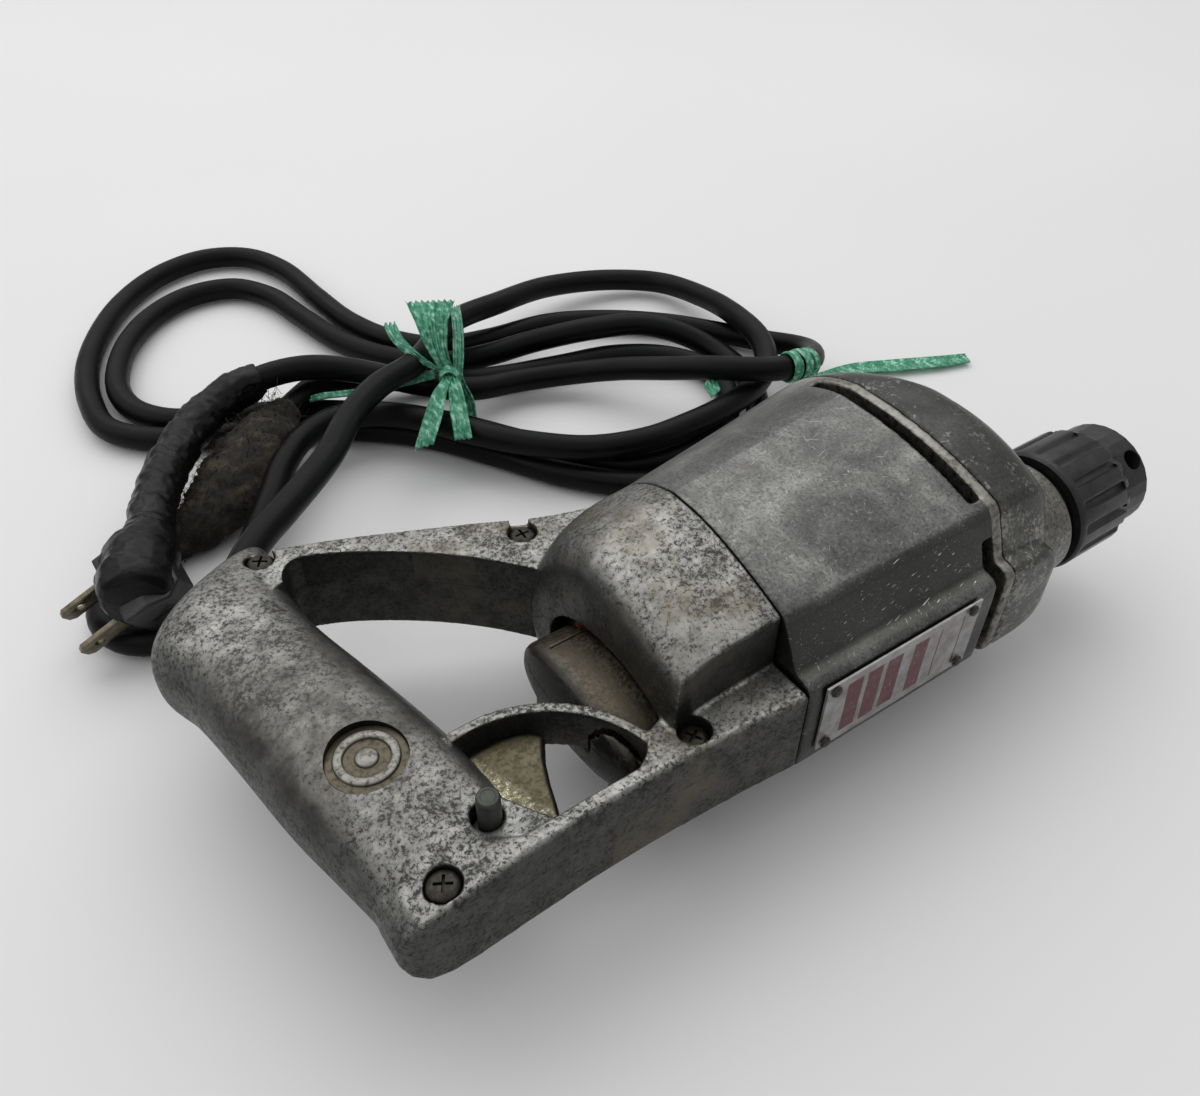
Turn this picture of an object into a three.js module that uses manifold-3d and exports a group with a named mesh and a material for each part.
// Corded hand drill with a closed D handle, lying on its right side beside its tied cord.
// Units are millimetres. The drill is drawn in its own axes: +X runs along the spindle towards the
// chuck, the spindle axis is y = 0, z = 0, -Y is the drill's top (nameplate side), +Y its underside,
// and +Z its left side. Each casting is split at one level plane near z = 0.
import * as THREE from "three";
import { mergeVertices } from "three/addons/utils/BufferGeometryUtils.js";
import Module from "manifold-3d";

const wasm = await Module();
wasm.setup();

// Driving dimensions
const GAP = 0.3; // clearance between touching pieces

const MOTOR_Y = 22; // motor axis, below the spindle axis
const BODY_HALF = 36.5; // half width of the motor body, flat on its sides
const SPINE_Y = -23; // top face that carries the nameplate
const SPINE_HALF = 14.6;
const REAR_SEAM_X = -108;
const FRONT_SEAM_X = -37.5;
const WALL = 3.2;

const SPLIT_Z = 2.5; // joint plane of the two handle castings
const RIM_Z = 13; // half height of the handle bars
const GUARD_CENTRE = [-175, -18];
const GUARD_OUTER_R = 32.4;
const GUARD_INNER_R = 29.8;
const GUARD_LOW_Z = 0.4;

const SCREWS = [
  { x: -193.3, y: 89.4, seat: 9.6, open: [0.25, 1] },
  { x: -132.3, y: 61.2, seat: 9.6, open: [0.35, 1] },
  { x: -135.3, y: -15.4, seat: 8.2, open: null },
  { x: -197.6, y: -17.0, seat: 9.6, open: null },
];
const CASE_SCREWS = [[67.4, 11], [67.4, -11]];
const SCREW_HEAD_R = 3.3;
const SCREW_HEAD_H = 2.4;
const SCREW_SHANK_R = 1.9;
const COUNTERBORE_R = 3.95;

const SLEEVE_R = 18;
const SLEEVE_LENGTH = 23.5;
const CHUCK_NOSE_R = 15.6;
const CHUCK_LENGTH = 34.5;
const JAW_TILT = THREE.MathUtils.degToRad(18);
const JAW_ANGLES = [67, 187, 307];
const KEY_HOLE_ANGLES = [127, 247, 7];

const GEAR_MODULE = 1;
const TEETH = { pinion: 8, idlerWheel: 26, idlerPinion: 11, spindleWheel: 33 };
const IDLER = [15.36, -15.75];

const SPINDLE_R = 6.2;
const IDLER_PIN_R = 2.5;
const BEARING = { inner: 6.5, outer: 13, x0: -16.2, x1: -8.4 };

const CORD_D = 9;
const CORD_SIDES = 8;

// Finishes
const finish = (color, roughness, metalness) => ({ color, roughness, metalness });
const FINISH = {
  casting: finish(0xa7a7a2, 0.5, 0.75),
  darkCasting: finish(0x7f8284, 0.5, 0.7),
  steel: finish(0x9a9a98, 0.35, 0.9),
  screw: finish(0x6e675b, 0.5, 0.8),
  black: finish(0x2a2b2d, 0.45, 0.6),
  brass: finish(0xb89b52, 0.4, 0.8),
  copper: finish(0xa8623a, 0.4, 0.8),
  carbon: finish(0x26262a, 0.8, 0.1),
  plate: finish(0xd6d3cf, 0.35, 0.4),
  rubber: finish(0x1c1d1f, 0.6, 0),
  tape: finish(0x101113, 0.3, 0),
  cloth: finish(0x3d3529, 0.95, 0),
  film: finish(0x6fd2a4, 0.35, 0),
  resin: finish(0x4b3a2b, 0.6, 0),
};

// Solids from geometry
function signedVolume(position, index) {
  let sum = 0;
  const a = new THREE.Vector3();
  const b = new THREE.Vector3();
  const c = new THREE.Vector3();
  for (let i = 0; i < index.length; i += 3) {
    a.fromArray(position, index[i] * 3);
    b.fromArray(position, index[i + 1] * 3);
    c.fromArray(position, index[i + 2] * 3);
    sum += a.dot(b.cross(c));
  }
  return sum / 6;
}

function solid(geometry) {
  const bare = new THREE.BufferGeometry();
  bare.setAttribute("position", geometry.getAttribute("position"));
  if (geometry.getIndex()) bare.setIndex(geometry.getIndex());
  const merged = mergeVertices(bare, 1e-4);
  const position = Float32Array.from(merged.getAttribute("position").array);
  const faces = [];
  const all = merged.getIndex().array;
  for (let i = 0; i < all.length; i += 3) {
    const [p, q, r] = [all[i], all[i + 1], all[i + 2]];
    if (p !== q && q !== r && r !== p) faces.push(p, q, r);
  }
  if (signedVolume(position, faces) < 0) faces.reverse();
  const triVerts = Uint32Array.from(faces);
  return new wasm.Manifold(new wasm.Mesh({ numProp: 3, vertProperties: position, triVerts }));
}

function geometryOf(manifold) {
  const mesh = manifold.getMesh();
  const geometry = new THREE.BufferGeometry();
  geometry.setAttribute("position", new THREE.BufferAttribute(Float32Array.from(mesh.vertProperties), 3));
  geometry.setIndex(new THREE.BufferAttribute(Uint32Array.from(mesh.triVerts), 1));
  geometry.computeVertexNormals();
  return geometry;
}

const union = (...pieces) => pieces.reduce((whole, piece) => whole.add(piece));

// Turned, extruded and lofted shapes
const TO_X = new THREE.Matrix4().makeRotationZ(-Math.PI / 2); // +Y to +X
const TO_Z = new THREE.Matrix4().makeRotationX(Math.PI / 2); // +Y to +Z
const YZ_TO_SPACE = new THREE.Matrix4().makeBasis(
  new THREE.Vector3(0, 1, 0), new THREE.Vector3(0, 0, 1), new THREE.Vector3(1, 0, 0));

function turned(profile, segments, matrix, x = 0, y = 0, z = 0) {
  const points = profile.map(([radius, along]) => new THREE.Vector2(radius, along));
  const geometry = new THREE.LatheGeometry(points, segments);
  return solid(geometry.applyMatrix4(matrix).translate(x, y, z));
}

const turnedX = (profile, segments, y = 0, z = 0) => turned(profile, segments, TO_X, 0, y, z);
const turnedZ = (profile, segments, x, y) => turned(profile, segments, TO_Z, x, y, 0);

const cylinderX = (radius, x0, x1, y = 0, z = 0, segments = 24) =>
  turnedX([[0, x0], [radius, x0], [radius, x1], [0, x1]], segments, y, z);
const cylinderZ = (radius, z0, z1, x, y, segments = 18) =>
  turnedZ([[0, z0], [radius, z0], [radius, z1], [0, z1]], segments, x, y);
const ringX = (inner, outer, x0, x1, y = 0, z = 0, segments = 24) =>
  turnedX([[inner, x0], [outer, x0], [outer, x1], [inner, x1], [inner, x0]], segments, y, z);

function rod(radius, from, to, segments = 12) {
  const start = new THREE.Vector3(...from);
  const along = new THREE.Vector3(...to).sub(start);
  const geometry = new THREE.CylinderGeometry(radius, radius, along.length(), segments);
  const turn = new THREE.Quaternion().setFromUnitVectors(new THREE.Vector3(0, 1, 0), along.clone().normalize());
  const middle = start.addScaledVector(along, 0.5);
  return solid(geometry.applyQuaternion(turn).translate(middle.x, middle.y, middle.z));
}

function box(x0, x1, y0, y1, z0, z1) {
  const geometry = new THREE.BoxGeometry(x1 - x0, y1 - y0, z1 - z0);
  return solid(geometry.translate((x0 + x1) / 2, (y0 + y1) / 2, (z0 + z1) / 2));
}

const shapeOf = (points) => new THREE.Shape(points.map(([x, y]) => new THREE.Vector2(x, y)));

function prismZ(shape, z0, z1, curveSegments = 12) {
  const geometry = new THREE.ExtrudeGeometry(shape, { depth: z1 - z0, bevelEnabled: false, curveSegments });
  return solid(geometry.translate(0, 0, z0));
}

function prismX(shape, x0, x1, curveSegments = 12) {
  const geometry = new THREE.ExtrudeGeometry(shape, { depth: x1 - x0, bevelEnabled: false, curveSegments });
  return solid(geometry.translate(0, 0, x0).applyMatrix4(YZ_TO_SPACE));
}

// Skin through closed sections of equal point count, capped at both ends
function loft(sections, capAxes) {
  const count = sections[0].length;
  const position = sections.flat().flatMap((p) => [p.x, p.y, p.z]);
  const index = [];
  for (let s = 0; s + 1 < sections.length; s += 1) {
    for (let i = 0; i < count; i += 1) {
      const a = s * count + i;
      const b = s * count + ((i + 1) % count);
      index.push(a, b, b + count, a, b + count, a + count);
    }
  }
  const cap = (s, flip) => {
    const flat = sections[s].map((p) => new THREE.Vector2(p[capAxes[0]], p[capAxes[1]]));
    for (const [a, b, c] of THREE.ShapeUtils.triangulateShape(flat, [])) {
      const face = flip ? [a, c, b] : [a, b, c];
      index.push(...face.map((i) => i + s * count));
    }
  };
  const clockwise = THREE.ShapeUtils.isClockWise(
    sections[0].map((p) => new THREE.Vector2(p[capAxes[0]], p[capAxes[1]])));
  cap(0, !clockwise);
  cap(sections.length - 1, clockwise);
  const geometry = new THREE.BufferGeometry();
  geometry.setAttribute("position", new THREE.Float32BufferAttribute(position, 3));
  geometry.setIndex(index);
  return solid(geometry);
}

const lerp = THREE.MathUtils.lerp;

// Smooth value through named stations, for sizes that change along the drill
function along(stations, at) {
  if (at <= stations[0][0]) return stations[0][1];
  for (let i = 1; i < stations.length; i += 1) {
    const [x1, v1] = stations[i];
    if (at <= x1) {
      const [x0, v0] = stations[i - 1];
      return lerp(v0, v1, (at - x0) / (x1 - x0));
    }
  }
  return stations[stations.length - 1][1];
}

const root = new THREE.Group();
const solids = new Map();

function add(name, manifold, look) {
  const material = new THREE.MeshStandardMaterial(look);
  const mesh = new THREE.Mesh(geometryOf(manifold), material);
  mesh.name = name;
  root.add(mesh);
  solids.set(name, manifold);
}

// Cross-section of the motor body at one place along it: round underside, flat sides, sloping
// crown, a hollow shoulder and the narrow spine that carries the nameplate
function bodySection(x, size) {
  const { centre, reach, half, shoulder, inset = 0, spine = [SPINE_Y, SPINE_HALF] } = size;
  const upper = [];
  const farSteps = inset ? 4 : 6;
  const high = half - inset;
  for (let i = 0; i < farSteps; i += 1) {
    const t = (i / farSteps) * (Math.PI / 2);
    upper.push([centre + (reach - inset) * Math.cos(t), Math.min(high * 1.02 * Math.sin(t), high)]);
  }
  const [shoulderY, shoulderZ] = [shoulder[0] + inset, shoulder[1] - inset];
  const crownSteps = inset ? 3 : 5;
  const power = along([[REAR_SEAM_X, 1.55], [FRONT_SEAM_X, 2.1]], x);
  for (let i = 0; i <= crownSteps; i += 1) {
    const v = i / crownSteps;
    upper.push([lerp(centre, shoulderY, v), high - (high - shoulderZ) * v ** power]);
  }
  if (spine) {
    const face = spine[0] + inset;
    const wide = spine[1] - inset;
    const across = (v) => lerp(shoulderY, face, v);
    upper.push([across(0.14), shoulderZ - 2], [across(0.38), lerp(shoulderZ, wide, 0.6)]);
    upper.push([across(0.55), wide + 0.7], [across(0.84), wide], [across(0.96), wide - 1.4], [face, wide * 0.6]);
  }
  // The right side is flatter: the drill lies on it
  const flatTo = lerp(centre, shoulderY, 0.34);
  const lower = upper.slice(1).reverse().map(([y, z]) => [y, y > flatTo && y < centre ? -high : -z]);
  return [...upper, ...lower].map(([y, z]) => new THREE.Vector3(x, y, z));
}

// Sizes of the body section at stations along X
const BODY_STATIONS = [
  { x: REAR_SEAM_X, centre: 22, reach: 36.5, half: BODY_HALF, shoulder: [-10.6, 28.2] },
  { x: -75, centre: 25.5, reach: 39.5, half: BODY_HALF, shoulder: [-10.9, 28.5] },
  { x: -46, centre: 29, reach: 42, half: BODY_HALF, shoulder: [-11.2, 28.9] },
  { x: FRONT_SEAM_X, centre: 30, reach: 42.5, half: BODY_HALF, shoulder: [-11.3, 29.2] },
];

function bodyAt(x) {
  const pick = (read) => along(BODY_STATIONS.map((station) => [station.x, read(station)]), x);
  return {
    centre: pick((s) => s.centre),
    reach: pick((s) => s.reach),
    half: pick((s) => s.half),
    shoulder: [pick((s) => s.shoulder[0]), pick((s) => s.shoulder[1])],
  };
}

// Motor housing: a lofted casting, bored for the field core, with exhaust slots near its front
const MOTOR_BORE_R = 33;
const PLATE_SEAT_X = -41;
const MOUTH_INSET = 5.5;
const SLOT_X = [-43.7, -41.3];

function motorHousing() {
  const stations = [REAR_SEAM_X + GAP / 2, -92, -75, -60, -46, FRONT_SEAM_X - GAP / 2];
  const outer = loft(stations.map((x) => bodySection(x, bodyAt(x))), ["y", "z"]);
  const bore = cylinderX(MOTOR_BORE_R, REAR_SEAM_X - 1, PLATE_SEAT_X + 0.5, MOTOR_Y, 0, 30);
  const gearMouth = loft([PLATE_SEAT_X, FRONT_SEAM_X + 1].map((x) =>
    bodySection(x, { ...bodyAt(x), inset: MOUTH_INSET })), ["y", "z"]);
  let housing = outer.subtract(bore).subtract(gearMouth);
  const [s0, s1] = SLOT_X;
  const crownSlot = prismX(shapeOf([[-8.5, 15], [47.5, 15], [53, 60], [-8.5, 60]]), s0, s1);
  const keep = cylinderX(29.5, s0 - 1, s1 + 1, MOTOR_Y, 0, 20);
  const cut = crownSlot.subtract(keep);
  const neckPassage = prismX(shapeOf([[-30, 3], [-30, 19.5], [0, 24], [0, 6]]), s0, s1);
  const spineSlots = [box(s0, s1, -30, -17, -4, 19.5), box(s0, s1, -30, -17, -19.5, -8), neckPassage,
    neckPassage.mirror([0, 0, 1])];
  for (const piece of [cut, cut.mirror([0, 0, 1]), ...spineSlots]) housing = housing.subtract(piece);
  for (const [y, z] of CASE_SCREWS) housing = housing.subtract(cylinderX(1.6 + GAP, -42.6, -30, y, z, 12));
  for (const [x, z] of PLATE_RIVETS) housing = housing.subtract(rod(RIVET_SHANK_R + GAP, [x, -30, z], [x, -20, z], 10));
  return housing;
}

// Nameplate and its rivets
const PLATE_X = [-103.4, -51.5];
const PLATE_Z = [-9, 13];
const PLATE_SHEET = 0.7;
const RIVET_SHANK_R = 0.8;
const PLATE_RIVETS = [[-101, 11.4], [-55, 11.4], [-101, -6.9], [-55, -6.9]];

function nameplate() {
  const y1 = SPINE_Y - GAP;
  let plate = box(...PLATE_X, y1 - PLATE_SHEET, y1, ...PLATE_Z);
  for (const [x, z] of PLATE_RIVETS) {
    plate = plate.subtract(rod(RIVET_SHANK_R + GAP, [x, y1 - 2, z], [x, y1 + 2, z], 10));
  }
  return plate;
}

function rivet([x, z]) {
  const under = SPINE_Y - GAP - PLATE_SHEET - GAP;
  const profile = [[0, 0], [RIVET_SHANK_R, 0], [RIVET_SHANK_R, 3], [1.6, 3], [1.2, 3.7], [0, 3.9]];
  const toFace = new THREE.Matrix4().makeRotationZ(Math.PI);
  return turned(profile, 12, toFace, x, under + 3, z);
}

// Gear case: carries the body's shape forward, domes over the gears and ends in the spindle neck
function gearCase() {
  const stations = [
    { x: FRONT_SEAM_X + GAP / 2, centre: 30, reach: 42.5, half: BODY_HALF, shoulder: [-11.3, 29.2] },
    { x: -31, centre: 29, reach: 40.5, half: BODY_HALF, shoulder: [-11.4, 29], spine: [-23.3, 14.2] },
    { x: -25, centre: 25.5, reach: 37.5, half: 36, shoulder: [-11.6, 28.2], spine: [-23.2, 13.4] },
    { x: -20, centre: 21.5, reach: 34.2, half: 34.4, shoulder: [-11.6, 26], spine: [-22.7, 11] },
    { x: -17, centre: 19.5, reach: 31.4, half: 32.2, shoulder: [-10.8, 23.2], spine: [-20.4, 7.6] },
    { x: -15.2, centre: 18, reach: 28.4, half: 29.2, shoulder: [-10, 20.2], spine: [-17.4, 6.4] },
  ];
  const outer = loft(stations.map((s) => bodySection(s.x, s)), ["y", "z"]);
  const neck = turnedX([[0, -20], [18.4, -20], [17.7, -12], [17.3, -3.6], [16.7, -3], [0, -3]], 32);
  const inside = [
    { x: FRONT_SEAM_X - 1, centre: 30, reach: 42.5, half: BODY_HALF, shoulder: [-11.3, 29.2], inset: 4 },
    { x: -31, centre: 29, reach: 40.5, half: BODY_HALF, shoulder: [-11.4, 29], inset: 4 },
    { x: -25, centre: 25.5, reach: 37.5, half: 36, shoulder: [-11.6, 28.2], inset: 4 },
    { x: -20.2, centre: 20, reach: 31, half: 31.4, shoulder: [-11.6, 25.4], spine: [-22.4, 12], inset: 4 },
  ];
  const hollow = loft(inside.map((s) => bodySection(s.x, s)), ["y", "z"]);
  const bearingSeat = cylinderX(BEARING.outer + GAP, -21, BEARING.x1 + GAP, 0, 0, 24);
  const shaftHole = cylinderX(SPINDLE_R + GAP, -9, -1, 0, 0, 20);
  const idlerBoss = cylinderX(5.4, -21, -16.5, ...IDLER, 14);
  const idlerHole = cylinderX(IDLER_PIN_R + GAP, -25, -17.4, ...IDLER, 14);
  let housing = union(outer, neck).subtract(hollow).subtract(bearingSeat).subtract(shaftHole)
    .add(idlerBoss).subtract(idlerHole);
  for (const [y, z] of CASE_SCREWS) {
    const tall = cylinderX(3.8, -33, 0, y, z, 14);
    const lug = cylinderX(5.2, FRONT_SEAM_X + GAP / 2, -33, y, z, 14);
    housing = housing.subtract(tall).add(lug.subtract(hollow)).subtract(cylinderX(1.6 + GAP, -45, -20, y, z, 12));
  }
  return housing;
}

// Handle shapes in plan
const GRIP_STATIONS = [
  { y: -20.6, centre: -191.4, wide: 16.6, half: 11.9, slant: 0 },
  { y: -17, centre: -191.6, wide: 17.8, half: 12.3, slant: 0 },
  { y: -11, centre: -191.8, wide: 18, half: 12.9, slant: 0 },
  { y: 2, centre: -193.8, wide: 18.6, half: 15, slant: 0 },
  { y: 20, centre: -197.2, wide: 19.2, half: 16.2, slant: 0 },
  { y: 44, centre: -201.8, wide: 18.2, half: 16.5, slant: 0.02 },
  { y: 64, centre: -206, wide: 17.4, half: 16.5, slant: 0.08 },
  { y: 76, centre: -208.2, wide: 18.6, half: 16.2, slant: 0.22 },
  { y: 85, centre: -208, wide: 18.8, half: 15, slant: 0.38 },
  { y: 91.5, centre: -206.4, wide: 18, half: 12.4, slant: 0.5 },
  { y: 95.6, centre: -204.8, wide: 16, half: 8.6, slant: 0.56 },
  { y: 97.6, centre: -203.6, wide: 13.4, half: 4.6, slant: 0.58 },
];

function gripSection({ y, centre, wide, half, slant }, inset = 0) {
  const steps = inset ? 12 : 20;
  const power = 2 / 2.5;
  const bend = (v) => Math.sign(v) * Math.abs(v) ** power;
  return Array.from({ length: steps }, (_, i) => {
    const t = (i / steps) * 2 * Math.PI;
    const x = (wide - inset) * bend(Math.cos(t));
    return new THREE.Vector3(centre + x, y + slant * x, (half - inset) * bend(Math.sin(t)));
  });
}

function gripSolid() {
  return loft(GRIP_STATIONS.map((s) => gripSection(s)), ["x", "z"]);
}

function gripHollow() {
  const inside = [2, 4, 6, 8, 9].map((i) => gripSection(GRIP_STATIONS[i], WALL));
  return loft(inside, ["x", "z"]);
}

// Straight bar: rounded rectangles through stations of x, outer y, inner y and half height
const BAR_STATIONS = [
  [-210, -19.4, -10, 4.4], [-208.4, -21.2, -10, 7.4], [-205.2, -22.3, -9, 10.2], [-200.5, -22.5, -9, 11.8],
  [-193, -22, -9, 12.7], [-180, -21.2, -17, RIM_Z], [-165, -20.6, -16.6, RIM_Z], [-151, -20.6, -16.6, RIM_Z],
  [-147.6, -20.7, -14.6, RIM_Z], [-144, -20.8, -10, RIM_Z], [-138, -21, -8, RIM_Z], [-122, -21.8, -8, RIM_Z],
  [REAR_SEAM_X - GAP / 2, -22.9, -8, RIM_Z],
];

function straightBar() {
  const edge = 0.9;
  const sections = BAR_STATIONS.map(([x, outer, inner, half]) => [
    [outer + edge, -half], [outer, -half + edge], [outer, half - edge], [outer + edge, half],
    [inner - edge * 0.4, half], [inner, half - edge * 0.4], [inner, -half + edge * 0.4], [inner - edge * 0.4, -half],
  ].map(([y, z]) => new THREE.Vector3(x, y, z)));
  return loft(sections, ["y", "z"]);
}

function curvedBarShape() {
  const outer = new THREE.CatmullRomCurve3([
    [-189, 91], [-174, 85.6], [-159, 79.2], [-143, 72], [-129, 65.2], [-118, 61.2], [-108.2, 59],
  ].map(([x, y]) => new THREE.Vector3(x, y, 0)));
  const inner = new THREE.CatmullRomCurve3([
    [-137, 47], [-144.6, 56.2], [-154.3, 65.6], [-165.5, 74.2], [-176.8, 81.2], [-184.5, 84.6],
  ].map(([x, y]) => new THREE.Vector3(x, y, 0)));
  const shape = new THREE.Shape();
  shape.moveTo(-189, 91);
  for (const p of outer.getPoints(9)) shape.lineTo(p.x, p.y);
  shape.lineTo(-108.2, 46);
  for (const p of inner.getPoints(8)) shape.lineTo(p.x, p.y);
  shape.quadraticCurveTo(-190.2, 84.6, -191.4, 78);
  shape.lineTo(-200, 76);
  shape.lineTo(-203, 88);
  return shape;
}

function guardShape(room = 0) {
  const shape = new THREE.Shape();
  const [x, y] = GUARD_CENTRE;
  const start = THREE.MathUtils.degToRad(2);
  const end = THREE.MathUtils.degToRad(100);
  shape.absarc(x, y, GUARD_OUTER_R + room, start, end, false);
  shape.absarc(x, y, GUARD_INNER_R - room, end, start, true);
  return shape;
}

// Rear cowl behind the seam: a shell that closes over the commutator end
const COWL_STATIONS = [
  { x: REAR_SEAM_X - GAP / 2, centre: 22, reach: 36.5, half: BODY_HALF, shoulder: [-10.6, 28.2] },
  { x: -120, centre: 21.4, reach: 35.8, half: 36, shoulder: [-10.8, 28] },
  { x: -129, centre: 20, reach: 34, half: 34.9, shoulder: [-11.2, 27.4] },
  { x: -134, centre: 18.5, reach: 32.6, half: 33, shoulder: [-11.8, 26] },
  { x: -137, centre: 17.4, reach: 31.6, half: 29.8, shoulder: [-12.6, 23.6] },
  { x: -138.6, centre: 16.6, reach: 31, half: 24.6, shoulder: [-13, 19] },
  { x: -139.2, centre: 16, reach: 30.4, half: 17.4, shoulder: [-13.2, 13.4] },
];

function cowlSolid(inset) {
  const sections = COWL_STATIONS.map((s, i) => {
    const x = s.x + (inset ? (i === 0 ? -1 : inset * (i / 6)) : 0);
    return bodySection(x, { ...s, inset, spine: false });
  });
  if (!inset) return loft(sections, ["y", "z"]);
  sections[0].forEach((p) => { p.x = REAR_SEAM_X + 2; });
  return loft(sections.filter((_, i) => i % 2 === 0), ["y", "z"]);
}

// The oval intake opening at the back of the motor, and the bearing boss that stands in it
const OVAL = { y: 10.8, reach: 26.4, half: 16.4 };
const BOSS = { reach: 23.8, half: 12.2, front: -136.6 };

function rearOpening() {
  const shape = new THREE.Shape();
  shape.absellipse(OVAL.y, 0, OVAL.reach, OVAL.half, 0, Math.PI * 2, false, 0);
  return prismX(shape, -154, -136, 13);
}

function rearBoss(room = 0) {
  const profile = [[0, -152.4], [0.6, -152], [0.88, -150.4], [1, -147.4], [1, BOSS.front], [0, BOSS.front]];
  const points = profile.map(([radius, x]) => new THREE.Vector2(radius, x));
  const geometry = new THREE.LatheGeometry(points, 24).applyMatrix4(TO_X);
  return solid(geometry.scale(1, BOSS.reach + room, BOSS.half + room).translate(room, OVAL.y, 0));
}

function handleBlank() {
  const bars = union(
    straightBar(),
    prismZ(curvedBarShape(), -RIM_Z, RIM_Z),
  );
  return { bars, grip: gripSolid(), hollow: gripHollow() };
}

const HALF_SPACE = 400;
const above = (z) => box(-HALF_SPACE, HALF_SPACE, -HALF_SPACE, HALF_SPACE, z, HALF_SPACE);
const below = (z) => box(-HALF_SPACE, HALF_SPACE, -HALF_SPACE, HALF_SPACE, -HALF_SPACE, z);

// Trigger: folded from sheet, hinged at the bar end, its wide end swinging along the guard
const TRIGGER_PIVOT = [-176.3, -13.6];
const TRIGGER_HALF = 8;
const TRIGGER_SHEET = 1.4;
const TRIGGER_PIN_R = 1.5;
const TRIGGER_SWEEP_R = 25.4;
const TRIGGER_TRAVEL = 11; // degrees

// Plan of the trigger: narrow end at the pin, concave finger face, rounded wide end, open back
const TRIGGER_PLAN = [
  [-172.6, -16.6], [-170, -16.4], [-168, -11], [-166.4, -6], [-164, 0], [-160.7, 5.2],
  [-163, 7.6], [-166, 9], [-170, 9.8], [-175, 9.9],
];

function trigger() {
  const [px, py] = TRIGGER_PIVOT;
  const back = [[-181.6, 9.3], [-184, 7], [-182.4, 1.5], [-178.6, -4], [-177.9, -8], [-178.2, -11],
    [-179.3, -13.6], [-178.4, -16]];
  const inner = TRIGGER_PLAN.map(([x, y]) => {
    const reach = Math.hypot(x - px, y - py);
    const shrink = 1 - (TRIGGER_SHEET * 1.15) / reach;
    return [px + (x - px) * shrink, py + (y - py) * shrink];
  });
  const outer = prismZ(shapeOf([...TRIGGER_PLAN, ...back]), -TRIGGER_HALF, TRIGGER_HALF);
  const cavity = prismZ(
    shapeOf([...inner.slice(2), [-190, 11], [-190, -4], [-176, -7]]),
    -TRIGGER_HALF + TRIGGER_SHEET, TRIGGER_HALF - TRIGGER_SHEET);
  const backPlate = prismZ(shapeOf([[-184, 7], [-182.4, 1.5], [-180.9, 1.9], [-182.4, 7.2]]), -4.5, 4.5);
  const brace = prismZ(shapeOf([[-184, 7], [-182.4, 7.2], [-167, 8], [-167, 9.4], [-181.6, 9.2]]), -4.5, 4.5);
  return union(outer.subtract(cavity), backPlate, brace)
    .subtract(cylinderZ(TRIGGER_PIN_R + GAP, -20, 20, px, py, 16))
    .subtract(cylinderZ(3.8, -5.9, 5.9, px, py, 20));
}

// Space that the trigger sweeps inside the grip, with its slot to the finger opening
function triggerSpace() {
  const [px, py] = TRIGGER_PIVOT;
  const shape = new THREE.Shape();
  shape.moveTo(px + 9, py - 4);
  shape.lineTo(px + 14, py + 14);
  shape.absarc(px, py, TRIGGER_SWEEP_R, THREE.MathUtils.degToRad(45), THREE.MathUtils.degToRad(122), false);
  shape.lineTo(px - 13, py + 14);
  shape.lineTo(px - 10.4, py + 5);
  shape.lineTo(px - 6.4, py - 4);
  return prismZ(shape, -TRIGGER_HALF - 0.7, TRIGGER_HALF + 0.7);
}

// Lock pin beside the trigger: pressed in, it holds the trigger back
const LOCK = { x: -182.8, y: -9.3, r: 2.55, hole: 3.5, holeX: -183.2, holeY: -8.8, top: 19.6, flange: 3.8, stem: 1.5, guideTop: -3.4 };
const LOCK_FLANGE_Z = [6.9, 8.1];
const REAR_BEARING = { inner: 3.5, outer: 9.5, x0: -147, x1: -141 };

function screwBosses(z0, z1) {
  return union(...SCREWS.map(({ x, y }) => cylinderZ(5.2, z0, z1, x, y, 14)));
}

function counterbores() {
  return SCREWS.map(({ x, y, seat, open }) => {
    const round = cylinderZ(COUNTERBORE_R, seat, 40, x, y, 18);
    if (!open) return round;
    const length = 14;
    const norm = Math.hypot(...open);
    const [ux, uy] = open.map((v) => v / norm);
    const half = COUNTERBORE_R * 0.62;
    const mouth = shapeOf([
      [x - uy * half, y + ux * half], [x + uy * half, y - ux * half],
      [x + uy * half + ux * length, y - ux * half + uy * length],
      [x - uy * half + ux * length, y + ux * half + uy * length],
    ]);
    return round.add(prismZ(mouth, seat + 1.4, 40));
  });
}

const CORD_EXIT = [-199.5, 96.5];
const CORD_DIRECTION = [0.42, 0.9075];

function cordChannel(radius) {
  const [x, y] = CORD_EXIT;
  const [ux, uy] = CORD_DIRECTION;
  return rod(radius, [x - ux * 26, y - uy * 26, 0], [x + ux * 12, y + uy * 12, 0], 16);
}

// Round recess on the grip with a plain raised ring and a centre boss
const EMBLEM = { x: -197.6, y: 16, r: 9, floor: 14.5 };

function emblemRing() {
  const profile = [[5, -1], [7, -1], [7, 0.7], [5, 0.7], [5, -1]];
  const ring = turnedZ(profile, 22, EMBLEM.x, EMBLEM.y).translate([0, 0, EMBLEM.floor]);
  return ring.add(cylinderZ(2.2, EMBLEM.floor - 1, EMBLEM.floor + 0.7, EMBLEM.x, EMBLEM.y, 14));
}

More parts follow.
